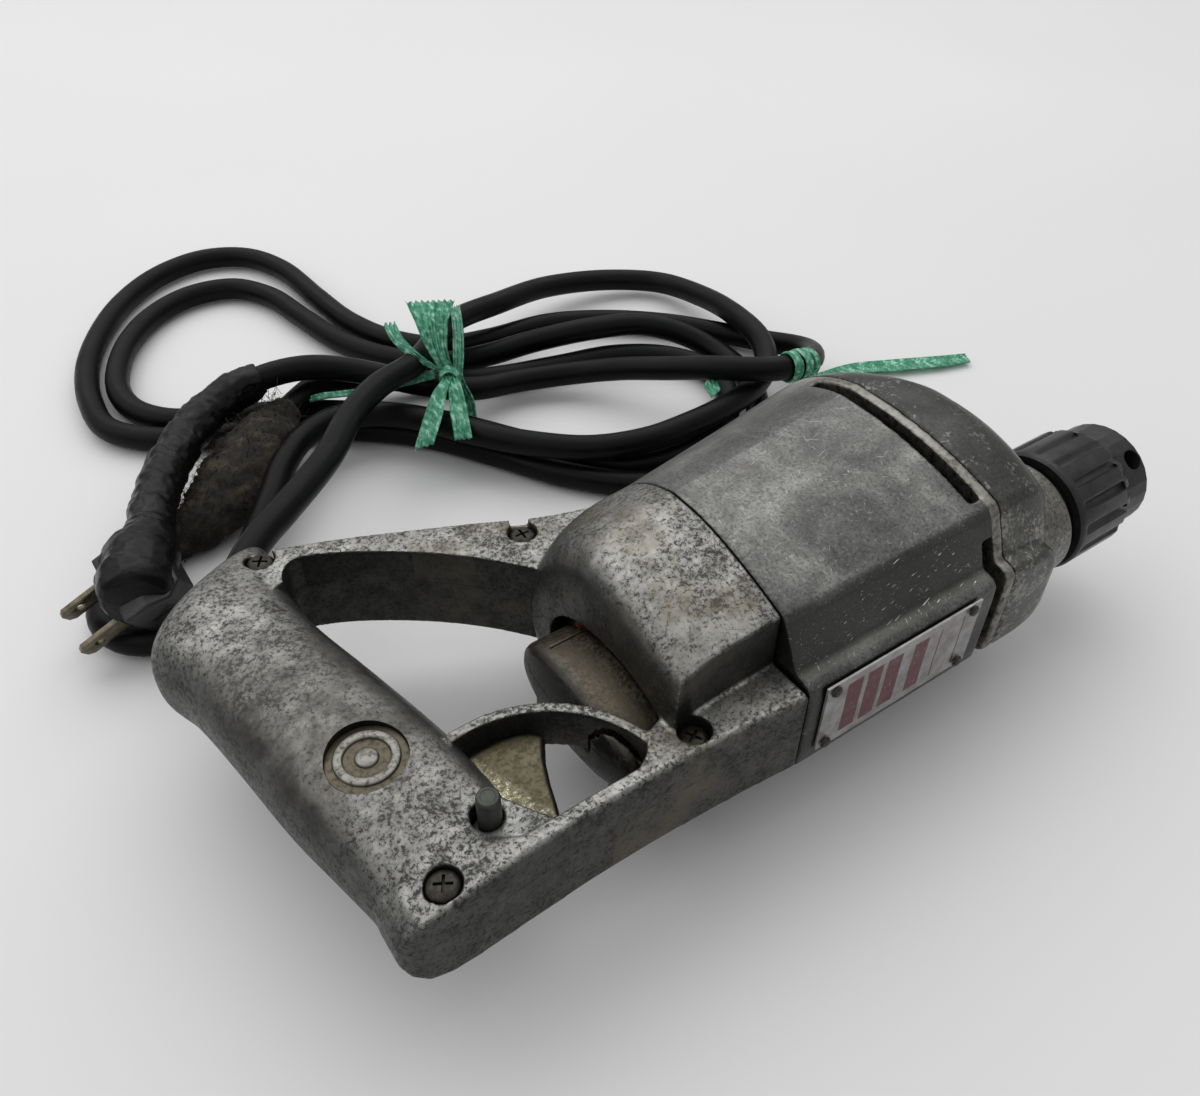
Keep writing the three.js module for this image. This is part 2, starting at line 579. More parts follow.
function handleCover() {
  const { bars, grip, hollow } = handleBlank();
  const cowl = cowlSolid(0).subtract(cowlSolid(WALL)).subtract(rearOpening());
  const guard = prismZ(guardShape(), GUARD_LOW_Z, RIM_Z - 0.4, 7);
  let cover = union(bars, grip).subtract(hollow).subtract(cowlSolid(WALL)).add(cowl).subtract(rearOpening());
  cover = cover.intersect(above(SPLIT_Z + GAP / 2));
  cover = union(cover, screwBosses(SPLIT_Z + GAP / 2, RIM_Z - 0.5).intersect(union(bars, grip)));
  cover = union(cover.subtract(triggerSpace()), guard);
  for (const bore of counterbores()) cover = cover.subtract(bore);
  for (const { x, y } of SCREWS) cover = cover.subtract(cylinderZ(SCREW_SHANK_R + GAP, 0, 20, x, y, 16));
  const lockPocket = cylinderZ(LOCK.flange + 0.6, 2, LOCK_FLANGE_Z[1] + GAP, LOCK.x, LOCK.y, 18);
  cover = cover.subtract(lockPocket).subtract(cylinderZ(LOCK.hole, 5, 30, LOCK.holeX, LOCK.holeY, 22));
  cover = cover.subtract(cordChannel(CORD_D / 2 + 2.2));
  cover = cover.subtract(rearBoss(GAP + 0.1));
  return cover.subtract(cylinderZ(EMBLEM.r, EMBLEM.floor, 30, EMBLEM.x, EMBLEM.y, 28)).add(emblemRing());
}

function handleFrame() {
  const { bars, grip, hollow } = handleBlank();
  const cowl = cowlSolid(0).subtract(cowlSolid(WALL));
  let frame = union(bars, grip).subtract(hollow).subtract(cowlSolid(WALL)).add(cowl).subtract(rearOpening());
  frame = frame.intersect(below(SPLIT_Z - GAP / 2));
  const spokes = [-5, 27].map((y) => box(-148.4, -137, y - 3.4, y + 3.4, -19.5, -9));
  frame = union(frame, rearBoss(), ...spokes);
  frame = union(frame, screwBosses(-RIM_Z + 0.5, SPLIT_Z - GAP / 2).intersect(union(bars, grip)));
  const brushPads = [box(-133, -120, 39, 49, -26, -7.3), box(-133, -120, -5, 5, -26, -7.3)];
  const switchPads = [5, 26].map((y) => box(-205, -196, y, y + 3, -14.6, -SWITCH.half - GAP));
  frame = union(frame, ...brushPads, ...switchPads).subtract(triggerSpace());
  for (const { x, y } of SCREWS) frame = frame.subtract(cylinderZ(SCREW_SHANK_R + GAP, -9.4, 5, x, y, 16));
  const pinBoss = cylinderZ(4.2, -12.4, -TRIGGER_HALF - 1, ...TRIGGER_PIVOT, 20);
  const lockGuide = cylinderZ(3.4, -13, LOCK.guideTop, LOCK.x, LOCK.y, 20);
  frame = union(frame, pinBoss, lockGuide);
  frame = frame.subtract(cylinderZ(LOCK.stem + GAP, -11, 0, LOCK.x, LOCK.y, 16));
  frame = frame.subtract(cylinderZ(TRIGGER_PIN_R + GAP, -11.4, 0, ...TRIGGER_PIVOT, 16));
  frame = frame.subtract(cylinderX(REAR_BEARING.outer + GAP, REAR_BEARING.x0 - GAP, -130, MOTOR_Y, 0, 20));
  frame = frame.subtract(prismZ(guardShape(GAP), GUARD_LOW_Z - GAP, 20, 7));
  return frame.subtract(cordChannel(CORD_D / 2 + 2.2));
}

// Bearing plate between the motor and the gears, with the front bearing's hub and the spindle bush's hub
const PLATE_X_RANGE = [PLATE_SEAT_X + GAP, -37.9];
const FRONT_BEARING = { inner: 4, outer: 11, x0: -47.6, x1: -40.9 };

function bearingPlate() {
  const sections = PLATE_X_RANGE.map((x) => bodySection(x, { ...bodyAt(-39), inset: MOUTH_INSET + GAP }));
  const hub = cylinderX(13.4, FRONT_BEARING.x0, PLATE_X_RANGE[1], MOTOR_Y, 0, 24);
  const bushHub = cylinderX(7.4, PLATE_X_RANGE[0], -35.6, 0, 0, 20);
  let plate = union(loft(sections, ["y", "z"]), hub, bushHub);
  plate = plate.subtract(cylinderX(FRONT_BEARING.outer + GAP, -60, FRONT_BEARING.x1 + GAP, MOTOR_Y, 0, 24));
  plate = plate.subtract(cylinderX(6, -60, -20, MOTOR_Y, 0, 16));
  plate = plate.subtract(cylinderX(5.2 + GAP, -60, -20, 0, 0, 20));
  plate = plate.subtract(cylinderX(IDLER_PIN_R + GAP, -60, -20, ...IDLER, 14));
  for (const [y, z] of CASE_SCREWS) plate = plate.subtract(cylinderX(3, -60, -20, y, z, 12));
  return plate;
}

// Ball bearings shown as one ring with grooved faces
function bearing({ inner, outer, x0, x1 }, y) {
  const groove = [lerp(inner, outer, 0.3), lerp(inner, outer, 0.7)];
  const deep = 0.8;
  return turnedX([
    [inner + GAP, x0], [groove[0], x0], [groove[0] + 0.2, x0 + deep], [groove[1] - 0.2, x0 + deep],
    [groove[1], x0], [outer, x0], [outer, x1], [inner + GAP, x1], [inner + GAP, x0],
  ], 20, y);
}

// Gears: straight-flanked teeth, enough to show and to mesh
function gearShape(teeth, turn = 0) {
  const pitch = (GEAR_MODULE * teeth) / 2;
  const step = (2 * Math.PI) / teeth;
  const outline = [
    [pitch - 1.15, -0.32], [pitch + 0.85, -0.1], [pitch + 0.85, 0.1], [pitch - 1.15, 0.32],
  ];
  const points = [];
  for (let k = 0; k < teeth; k += 1) {
    for (const [radius, share] of outline) {
      const angle = turn + (k + share) * step;
      points.push([radius * Math.cos(angle), radius * Math.sin(angle)]);
    }
  }
  return shapeOf(points);
}

const gear = (teeth, x0, x1, [y, z], turn) => prismX(gearShape(teeth, turn), x0, x1).translate([0, y, z]);

// Tooth phases that put a tooth of each gear in a gap of its mate
const toMotor = Math.atan2(-IDLER[1], MOTOR_Y - IDLER[0]);
const toSpindle = Math.atan2(-IDLER[1], -IDLER[0]);
const WHEEL_TURN = toMotor;
const PINION_TURN = toMotor + Math.PI + Math.PI / TEETH.pinion;
const IDLER_PINION_TURN = toSpindle;
const SPINDLE_WHEEL_TURN = toSpindle + Math.PI + Math.PI / TEETH.spindleWheel;

function idlerGear() {
  const wheel = gear(TEETH.idlerWheel, -35.4, -29.8, IDLER, WHEEL_TURN);
  const pinion = gear(TEETH.idlerPinion, -30.2, -22, IDLER, IDLER_PINION_TURN);
  return union(wheel, pinion).subtract(cylinderX(IDLER_PIN_R + GAP, -40, -15, ...IDLER, 20));
}

// Motor parts on the axis y = MOTOR_Y
const CORE_X = [-106, -70];
const ARMATURE_SLOTS = 8;

function armatureShaft() {
  const shaft = turnedX([
    [0, -146.6], [3.2, -146.6], [3.2, -140.4], [5, -140.2], [5, -48.2], [3.7, -48], [3.7, -38],
    [2.6, -37.8], [2.6, -37], [0, -37],
  ], 16, MOTOR_Y);
  return shaft.add(gear(TEETH.pinion, -37.2, -29.2, [MOTOR_Y, 0], PINION_TURN));
}

function polar(radius, degrees) {
  const angle = THREE.MathUtils.degToRad(degrees);
  return [radius * Math.cos(angle), radius * Math.sin(angle)];
}

function armatureCore() {
  const points = [];
  const slots = ARMATURE_SLOTS;
  for (let k = 0; k < slots; k += 1) {
    const middle = (k * 360) / slots;
    for (const [radius, offset] of [[18.8, -15], [18.8, -5], [18.8, 5], [18.8, 15], [10.6, 13], [10.6, 32]]) {
      points.push(polar(radius, middle + offset));
    }
  }
  return prismX(shapeOf(points), ...CORE_X).translate([0, MOTOR_Y, 0])
    .subtract(cylinderX(5 + GAP, -120, -60, MOTOR_Y, 0, 24));
}

function armatureWinding() {
  const [x0, x1] = CORE_X;
  const rear = turnedX([[5.6, x0 - 7], [12, x0 - 7], [16.6, x0 - 4], [17.4, x0 - GAP], [5.6, x0 - GAP], [5.6, x0 - 7]],
    16, MOTOR_Y);
  const front = turnedX([[5.6, x1 + GAP], [17.4, x1 + GAP], [16.4, x1 + 4.5], [11, x1 + 7], [5.6, x1 + 7],
    [5.6, x1 + GAP]], 16, MOTOR_Y);
  const bars = [];
  for (let k = 0; k < ARMATURE_SLOTS; k += 1) {
    const middle = ((k + 0.5) * 360) / ARMATURE_SLOTS;
    const bar = shapeOf([polar(11.2, middle - 5), polar(17, middle - 5), polar(17, middle + 5),
      polar(11.2, middle + 5)]);
    bars.push(prismX(bar, x0 - 2, x1 + 2).translate([0, MOTOR_Y, 0]));
  }
  return union(rear, front, ...bars);
}

function commutator() {
  const points = [];
  for (let k = 0; k < 16; k += 1) {
    for (const [radius, offset] of [[12, -9.6], [12, 9.6], [11.4, 10], [11.4, 12.5]]) {
      points.push(polar(radius, k * 22.5 + offset));
    }
  }
  return prismX(shapeOf(points), -134, -117.5).translate([0, MOTOR_Y, 0])
    .subtract(cylinderX(5 + GAP, -140, -110, MOTOR_Y, 0, 24));
}

function fan() {
  const disc = turnedX([[5.3, -62], [8, -62], [8, -51], [28, -50.6], [28, -49.2], [5.3, -49.2], [5.3, -62]],
    20, MOTOR_Y);
  const blades = Array.from({ length: 8 }, (_, k) =>
    box(-61, -50.4, 7, 27.4, -0.6, 0.6).rotate([k * 45 + 10, 0, 0]).translate([0, MOTOR_Y, 0]));
  return union(disc, ...blades);
}

function fieldCore() {
  const shape = new THREE.Shape();
  shape.absarc(0, 0, 32.7, 0, Math.PI * 2, false);
  const hole = new THREE.Path();
  const points = [];
  for (const side of [0, 180]) {
    for (let d = -50; d <= 50; d += 10) points.push(polar(19.6, side + d));
    for (let i = 0; i <= 6; i += 1) points.push(polar(27.6, side + lerp(52, 128, i / 6)));
  }
  hole.setFromPoints(points.map(([x, y]) => new THREE.Vector2(x, y)));
  shape.holes.push(hole);
  return prismX(shape, ...CORE_X, 15).translate([0, MOTOR_Y, 0]);
}

function fieldCoil(side) {
  const sector = (from, to, inner, outer) => {
    const points = [];
    const steps = Math.max(2, Math.round((to - from) / 14));
    for (let i = 0; i <= steps; i += 1) points.push(polar(outer, side + lerp(from, to, i / steps)));
    for (let i = steps; i >= 0; i -= 1) points.push(polar(inner, side + lerp(from, to, i / steps)));
    return shapeOf(points);
  };
  const [x0, x1] = CORE_X;
  const legs = [prismX(sector(56, 87, 20.6, 26.6), x0 - 6, x1 + 6), prismX(sector(-87, -56, 20.6, 26.6), x0 - 6, x1 + 6)];
  const ends = [prismX(sector(-87, 87, 20.6, 26.6), x0 - 6, x0 - GAP), prismX(sector(-87, 87, 20.6, 26.6), x1 + GAP, x1 + 6)];
  return union(...legs, ...ends).translate([0, MOTOR_Y, 0]);
}

// Brushes stand above and below the commutator, each in its own holder
const BRUSH_X = [-130, -123];
const BRUSH_HALF = 3;

function brushHolder(side) {
  const [x0, x1] = BRUSH_X;
  const block = box(x0 - 2.4, x1 + 2.4, 13.6, 24, -7, 5.6);
  const bore = box(x0 - GAP, x1 + GAP, 10, 22, -BRUSH_HALF - GAP, BRUSH_HALF + GAP);
  return block.subtract(bore).rotate([side, 0, 0]).translate([0, MOTOR_Y, 0]);
}

function carbonBrush(side) {
  return box(...BRUSH_X, 12.4, 21.4, -BRUSH_HALF, BRUSH_HALF).rotate([side, 0, 0]).translate([0, MOTOR_Y, 0]);
}

// Spindle and chuck
function spindle() {
  return turnedX([
    [0, -40.4], [4.8, -40.4], [4.8, -34.6], [5.6, -34.4], [5.6, -20.6], [SPINDLE_R, -20.4], [SPINDLE_R, -1],
    [5.4, -0.8], [5.4, 13], [0, 13],
  ], 20);
}

function spindleGear() {
  return gear(TEETH.spindleWheel, -29, -23.8, [0, 0], SPINDLE_WHEEL_TURN)
    .subtract(cylinderX(5.6 + GAP, -40, -15, 0, 0, 20));
}

const JAW = { r: 2.6, ahead: 26.5, back: 11, face: 3.2, axis: 5.1 };

function jawRod(radius, extraBack, extraAhead) {
  const slope = Math.tan(JAW_TILT);
  const at = (x) => [x, JAW.axis + (JAW.ahead - x) * slope, 0];
  return rod(radius, at(JAW.back - extraBack), at(JAW.ahead + extraAhead), 12);
}

function chuckJaw(angle) {
  const wedge = prismX(shapeOf([[JAW.face, 0], [40, 38 * Math.tan(Math.PI / 3)], [40, -38 * Math.tan(Math.PI / 3)]]), -10, 60);
  const blank = jawRod(JAW.r, 0, 6).intersect(wedge).intersect(box(0, JAW.ahead, -50, 50, -50, 50));
  return blank.rotate([angle, 0, 0]);
}

function chuckBody() {
  let body = turnedX([
    [0, 0.4], [14.6, 0.4], [14.6, SLEEVE_LENGTH + 0.1], [15.6, SLEEVE_LENGTH + GAP], [15.6, 33], [14.4, CHUCK_LENGTH],
    [0, CHUCK_LENGTH],
  ], 28);
  body = body.subtract(cylinderX(5.4 + GAP, -5, 13.4, 0, 0, 18));
  body = body.subtract(turnedX([[0, 17], [5.2, 19], [5.2, 33], [6.2, 36], [0, 36]], 16));
  for (const angle of JAW_ANGLES) {
    const slot = jawRod(JAW.r + GAP, 14, 14).intersect(box(-2, 60, 0.6, 60, -60, 60));
    body = body.subtract(slot.rotate([angle, 0, 0]));
  }
  for (const angle of KEY_HOLE_ANGLES) {
    body = body.subtract(rod(3, [29.6, 9.5, 0], [29.6, 20, 0], 16).rotate([angle, 0, 0]));
  }
  return body;
}

// Outer sleeve: long flutes and a ring of bevel teeth at its front for the chuck key
function chuckSleeve() {
  const flutes = 16;
  const points = [];
  for (let k = 0; k < flutes; k += 1) {
    for (const [radius, offset] of [[SLEEVE_R, -8.4], [SLEEVE_R, 0], [SLEEVE_R, 5], [SLEEVE_R - 1, 6.6], [SLEEVE_R - 1, 12.4]]) {
      points.push(polar(radius, k * (360 / flutes) + offset));
    }
  }
  const bore = new THREE.Path();
  bore.absarc(0, 0, 15.1, 0, Math.PI * 2, true);
  const fluted = shapeOf(points);
  fluted.holes.push(bore);
  const plain = ringX(15.1, SLEEVE_R, 0, 1.4, 0, 0, 32);
  const barrel = prismX(fluted, 1.3, 21, 7);
  const teeth = [];
  const count = 20;
  for (let k = 0; k < count; k += 1) {
    teeth.push(polar(SLEEVE_R - 0.3, ((k - 0.18) * 360) / count), polar(SLEEVE_R - 0.3, ((k + 0.18) * 360) / count));
    teeth.push(polar(SLEEVE_R - 1.5, ((k + 0.32) * 360) / count), polar(SLEEVE_R - 1.5, ((k + 0.68) * 360) / count));
  }
  const crown = shapeOf(teeth);
  crown.holes.push(bore);
  return union(plain, barrel, prismX(crown, 20.9, SLEEVE_LENGTH, 7));
}

// Cross-recess screws of the handle
function handleScrew({ x, y, seat }) {
  const head = turnedZ([
    [0, -8.4], [SCREW_SHANK_R, -8.4], [SCREW_SHANK_R, seat + GAP], [SCREW_HEAD_R, seat + GAP],
    [SCREW_HEAD_R, seat + GAP + 1.5], [2.2, seat + GAP + SCREW_HEAD_H], [0, seat + GAP + SCREW_HEAD_H],
  ], 16, x, y);
  const top = seat + GAP + SCREW_HEAD_H;
  const cross = [0, 90].map((turn) =>
    box(-1.8, 1.8, -0.4, 0.4, top - 1, top + 1).rotate([0, 0, turn + 25]).translate([x, y, 0]));
  return cross.reduce((whole, piece) => whole.subtract(piece), head);
}

function caseScrew([y, z]) {
  const head = turnedX([[0, -42], [1.6, -42], [1.6, -32.6], [3.2, -32.6], [3.2, -30.8], [2.4, -30], [0, -30]], 16, y, z);
  return head.subtract(box(-30.8, -29, y - 4, y + 4, z - 0.45, z + 0.45));
}

// Lock pin, trigger pin and springs
function coil(radius, wire, turns, z0, z1, x, y) {
  class Helix extends THREE.Curve {
    getPoint(t, target = new THREE.Vector3()) {
      const angle = t * turns * 2 * Math.PI;
      return target.set(x + radius * Math.cos(angle), y + radius * Math.sin(angle), lerp(z0, z1, t));
    }
  }
  const ring = new THREE.Shape();
  ring.absarc(0, 0, wire / 2, 0, Math.PI * 2, false);
  return solid(new THREE.ExtrudeGeometry(ring, {
    extrudePath: new Helix(), steps: Math.round(turns * 9), bevelEnabled: false, curveSegments: 2,
  }));
}

function lockPin() {
  const [f0, f1] = LOCK_FLANGE_Z;
  return turnedZ([
    [0, -8.2], [LOCK.stem, -8.2], [LOCK.stem, f0], [LOCK.flange, f0], [LOCK.flange, f1], [LOCK.r, f1],
    [LOCK.r, LOCK.top - 0.5], [LOCK.r - 0.5, LOCK.top], [0, LOCK.top],
  ], 20, LOCK.x, LOCK.y);
}

const lockSpring = () => coil(2.9, 0.8, 4, LOCK.guideTop + 0.75, LOCK_FLANGE_Z[0] - 0.75, LOCK.x, LOCK.y);
const triggerPin = () => cylinderZ(TRIGGER_PIN_R, -11.1, 8.6, ...TRIGGER_PIVOT, 16);
const triggerSpring = () => coil(3, 0.8, 4, -5.4, 5.4, ...TRIGGER_PIVOT);

// Switch in the grip and its plunger
const SWITCH = { x0: -206.4, x1: -194.4, y0: 4.2, y1: 31, half: 7.8 };
const PLUNGER = { y: 6.4, r: 2.2 };

function switchBody() {
  const body = box(SWITCH.x0, SWITCH.x1, SWITCH.y0, SWITCH.y1, -SWITCH.half, SWITCH.half);
  const bore = cylinderX(PLUNGER.r + GAP, -203.4, -190, PLUNGER.y, 0, 16);
  return body.subtract(bore);
}

const switchPlunger = () => cylinderX(PLUNGER.r, -198.4, -184.4, PLUNGER.y, 0, 16);

// Mains cord. Its route is one line of points: x, y and the height of its centre over the table.
// The hank is tied by hand, so each of its three loops has its own run out above, turn at the
// front tie, run back below and lobe at the rear
const TABLE_Z = -BODY_HALF;
const LEAD = [
  [-203, 89.4, 36.5], [-199.5, 96.5, 36.5], [-195.6, 103.4, 36.6], [-188, 111, 37], [-176, 121, 36], [-156, 139, 34],
  [-138, 161, 31], [-122, 175, 28.5], [-103, 185, 26],
];
const LOOPS = [
  {
    out: [[-76, 209, 22], [-49, 220, 17], [-19, 230, 11], [10, 227, 7]],
    turn: [[29, 214, 6], [33, 189, 9.5], [29, 162, 14.2], [24, 141, 15], [13, 125, 15]],
    back: [[-1, 117, 14.5], [-18, 113, 14.5], [-35, 112, 14.5], [-52, 113, 14.5], [-71, 120, 14.5], [-87, 134, 14.5],
      [-101, 152, 14.5]],
    lobe: [[-112, 169, 14.5], [-124, 179.8, 14.5], [-137.5, 184.6, 14.5], [-151, 179.8, 14.5], [-162.5, 168.5, 14.5],
      [-171, 157, 13], [-181, 146, 10], [-190, 137, 7], [-198, 129, 5], [-206, 124.3, 4.5], [-215, 122.5, 4.5],
      [-223.5, 125.3, 4.5], [-229.5, 131.5, 4.5], [-231.5, 140.5, 4.5], [-228.5, 150, 4.5], [-220, 157, 4.5],
      [-206, 162, 4.5], [-189, 168, 7], [-175, 176, 11.5], [-163, 187.5, 14.2], [-148, 200, 14], [-131, 209, 13.9],
      [-109.5, 209, 8]],
  },
  {
    out: [[-88, 199, 4.5], [-68, 189.5, 4.5], [-44, 183, 4.5], [-21, 177, 4.5]],
    turn: [[-4, 165, 4.5], [4, 149, 4.5], [0, 131, 4.5], [-13, 117, 4.5]],
    back: [[-34, 110.5, 4.5], [-54, 113, 4.5], [-71, 130, 4.5], [-84, 151, 4.5], [-100, 175, 4.5], [-119, 194, 4.5],
      [-142, 211, 4.5], [-166, 222.5, 4.5]],
    lobe: [[-183, 232, 4.5], [-191.5, 245, 4.5], [-193, 261, 4.5], [-188, 279, 4.5], [-178, 297, 4.5],
      [-163, 312, 4.5], [-145, 319, 4.5], [-128, 315, 4.5], [-118, 300, 4.5], [-113, 274, 4.5], [-108, 249, 4.5]],
  },
  {
    out: [[-98, 228, 4.5], [-83, 212, 4.5], [-66, 202.5, 7], [-48, 193, 12.5], [-26, 185, 14.7]],
    turn: [[-6, 179, 13], [8.5, 170, 8.3], [15.8, 156, 4.5], [14, 137, 4.5], [5, 119, 4.5], [-8, 106, 4.5]],
    back: [[-24, 99, 4.5], [-41, 97, 4.5], [-60, 104, 4.5], [-79, 123, 4.5], [-93, 146, 4.5], [-108, 169, 4.5],
      [-125, 186, 4.5], [-147, 202, 4.5], [-171, 212, 4.5]],
    lobe: [[-190, 222, 4.5], [-203, 238, 4.5], [-204, 259, 4.5], [-199, 283, 4.5], [-188, 307, 4.5],
      [-171, 330, 4.5], [-151, 345, 4.5], [-130, 349, 4.5], [-113, 340, 4.5], [-104, 320, 4.5], [-101, 287, 4.5],
      [-98, 260, 4.5]],
  },
  {
    out: [[-90, 238, 4.5], [-76, 222, 4.5], [-56, 216, 4.5], [-30, 213, 4.5], [-8, 202, 4.5], [12, 185, 4.5]],
    turn: [[27, 166, 4.5], [36.5, 150, 5.5], [40, 136, 9], [34, 122, 15], [19, 111, 21.5], [2, 112, 24.5]],
    back: [[-13, 126, 23], [-22, 141, 18], [-32, 156, 13.5], [-46, 170, 9], [-66, 178.5, 8], [-83, 180, 10]],
    lobe: [],
  },
];
const TAIL = [
  [-98, 184, 14.5], [-110, 192, 18], [-123, 201, 21.5], [-136, 205.5, 24.6], [-150, 208, 24.8], [-163, 207, 23.2],
  [-176, 202, 21.2], [-188, 191.5, 19.8], [-198.5, 177.5, 19.5], [-206, 162, 20.5], [-211.5, 147, 21.5],
];
const HANK = LOOPS.flatMap(({ out, turn, back, lobe }) => [...out, ...turn, ...back, ...lobe]);
const REST_RISE = 0.3;
const routePoint = ([x, y, height]) => new THREE.Vector3(x, y, TABLE_Z + REST_RISE + height);
const ROUTE = [...LEAD, ...HANK, ...TAIL].map(routePoint);
const cordLine = new THREE.CatmullRomCurve3(ROUTE, false, "centripetal");
const SAMPLES = 24;
cordLine.arcLengthDivisions = (ROUTE.length - 1) * SAMPLES;
const cordLength = cordLine.getLength();

// How far along the cord one of its route points is
const lengthAt = (index) => cordLine.getLengths()[index * SAMPLES];

// Part of the cord's line between two lengths along it
class Stretch extends THREE.Curve {
  constructor(from, to) {
    super();
    this.from = from;
    this.to = to;
    this.arcLengthDivisions = 600;
  }

  getPoint(t, target = new THREE.Vector3()) {
    return target.copy(cordLine.getPointAt(Math.min(1, lerp(this.from, this.to, t) / cordLength)));
  }
}

function tube(from, to, radius, steps, sides) {
  const ring = new THREE.Shape();
  ring.absarc(0, 0, radius, 0, Math.PI * 2, false);
  const path = new Stretch(from, to);
  return solid(new THREE.ExtrudeGeometry(ring, {
    steps, extrudePath: path, bevelEnabled: false, curveSegments: sides / 2,
  }));
}

// Least gap between stretches of the cord that are more than a few diameters apart along it
function leastGap(step = 4, apart = 36) {
  const count = Math.round(cordLength / step);
  const points = cordLine.getSpacedPoints(count);
  let least = Infinity;
  for (let i = 0; i < count; i += 1) {
    for (let k = i + Math.ceil(apart / step); k <= count; k += 1) {
      least = Math.min(least, points[i].distanceTo(points[k]));
    }
  }
  return least - CORD_D;
}

const LEAD_END = lengthAt(LEAD.length - 1);
const HANK_END = lengthAt(LEAD.length + HANK.length - 1) + 6;
const TAPE_START = lengthAt(LEAD.length + HANK.length + 4) + 3;
const WRAP_INDEX = LEAD.length + LOOPS[0].out.length + LOOPS[0].turn.length + LOOPS[0].back.length + 17;
const TAPE_R = 7.5;
const SLEEVE_BORE = CORD_D / 2 + 0.6;

// Rounded sleeve with its own width and height along a stretch of the cord
function swollenSleeve(from, to, steps, widthAt, heightAt) {
  const path = new Stretch(from, to);
  const sides = 12;
  const sections = Array.from({ length: steps + 1 }, (_, k) => {
    const t = k / steps;
    const centre = path.getPoint(t);
    const ahead = path.getTangent(t).setZ(0).normalize();
    return Array.from({ length: sides }, (__, i) => {
      const turn = (i / sides) * Math.PI * 2;
      const across = Math.cos(turn) * widthAt(t);
      const up = Math.sin(turn) * heightAt(t);
      return new THREE.Vector3(centre.x - ahead.y * across, centre.y + ahead.x * across, centre.z + up);
    });
  });
  return loft(sections, ["y", "z"]);
}

function spliceTape() {
  return tube(TAPE_START, cordLength - 1, TAPE_R, 11, 12).subtract(tube(TAPE_START - 3, cordLength, SLEEVE_BORE, 12, 8));
}

function frictionWrap() {
  const from = lengthAt(WRAP_INDEX);
  const to = lengthAt(WRAP_INDEX + 3) - 4;
  const wide = (t) => 6.2 + 2.8 * Math.sin(Math.PI * t);
  const high = (t) => 6 + 0.7 * Math.sin(Math.PI * t);
  return swollenSleeve(from, to, 8, wide, high).subtract(tube(from - 4, to + 4, SLEEVE_BORE + 0.3, 6, 8));
}

// Two-blade plug at the end of the taped tail, lying over the hank with its blades sloping down
const PLUG = {
  face: new THREE.Vector3(-224.5, 131.5, TABLE_Z + 18.5),
  ahead: new THREE.Vector3(-0.88, 0.11, -0.46).normalize(),
  wide: 23,
  thick: 14,
  depth: 17,
  bladeGap: 12.7,
  bladeLength: 17.5,
  bladeWide: 6.3,
  bladeThick: 1.5,
};

function plugFrame() {
  const across = new THREE.Vector3(-0.1, 0.93, 0.33);
  across.addScaledVector(PLUG.ahead, -across.dot(PLUG.ahead)).normalize();
  const up = new THREE.Vector3().crossVectors(across, PLUG.ahead).normalize();
  return new THREE.Matrix4().makeBasis(PLUG.ahead, across, up).setPosition(PLUG.face);
}

function plugBody() {
  const corner = 3;
  const outline = new THREE.Shape();
  const [half, back] = [PLUG.wide / 2, -PLUG.depth];
  outline.moveTo(0, -half);
  outline.lineTo(0, half);
  outline.lineTo(back + corner, half);
  outline.lineTo(back, half - corner);
  outline.lineTo(back, -half + corner);
  outline.lineTo(back + corner, -half);
  const block = new THREE.ExtrudeGeometry(outline, {
    depth: PLUG.thick - 3, bevelEnabled: true, bevelThickness: 1.5, bevelSize: 1.2, bevelOffset: -1.2, bevelSegments: 1,
  });
  const body = solid(block.translate(0, 0, -(PLUG.thick - 3) / 2).applyMatrix4(plugFrame()));
  const end = cordLine.getPointAt(1);
  const ahead = cordLine.getTangentAt(1);
  const start = end.clone().addScaledVector(ahead, GAP);
  const stop = end.clone().addScaledVector(ahead, 21);
  return body.add(rod(TAPE_R + 0.3, start.toArray(), stop.toArray(), 12));
}

function plugBlade(side) {
  const half = PLUG.bladeWide / 2;
  const outline = new THREE.Shape();
  outline.moveTo(GAP, -half);
  outline.lineTo(PLUG.bladeLength - 1.5, -half);
  outline.lineTo(PLUG.bladeLength, -half + 1.5);
  outline.lineTo(PLUG.bladeLength, half - 1.5);
  outline.lineTo(PLUG.bladeLength - 1.5, half);
  outline.lineTo(GAP, half);
  const hole = new THREE.Path();
  hole.absarc(PLUG.bladeLength - 5.5, 0, 1.5, 0, Math.PI * 2, true);
  outline.holes.push(hole);
  const blade = new THREE.ExtrudeGeometry(outline, { depth: PLUG.bladeThick, bevelEnabled: false, curveSegments: 6 });
  blade.rotateX(Math.PI / 2).translate(0, side * PLUG.bladeGap / 2 + PLUG.bladeThick / 2, 0);
  return solid(blade.applyMatrix4(plugFrame()));
}

function cordGrommet() {
  const [x, y] = CORD_EXIT;
  const [ux, uy] = CORD_DIRECTION;
  const at = (reach) => [x + ux * reach, y + uy * reach, 0];
  return rod(6.4, at(-10), at(1.5), 16).subtract(rod(CORD_D / 2 + 0.8, at(-12), at(4), 16));
}

// Film ties: an arch over the bundle at the knot, and a band round the front turn with a long tail
const TIE_SHEET = 0.8;

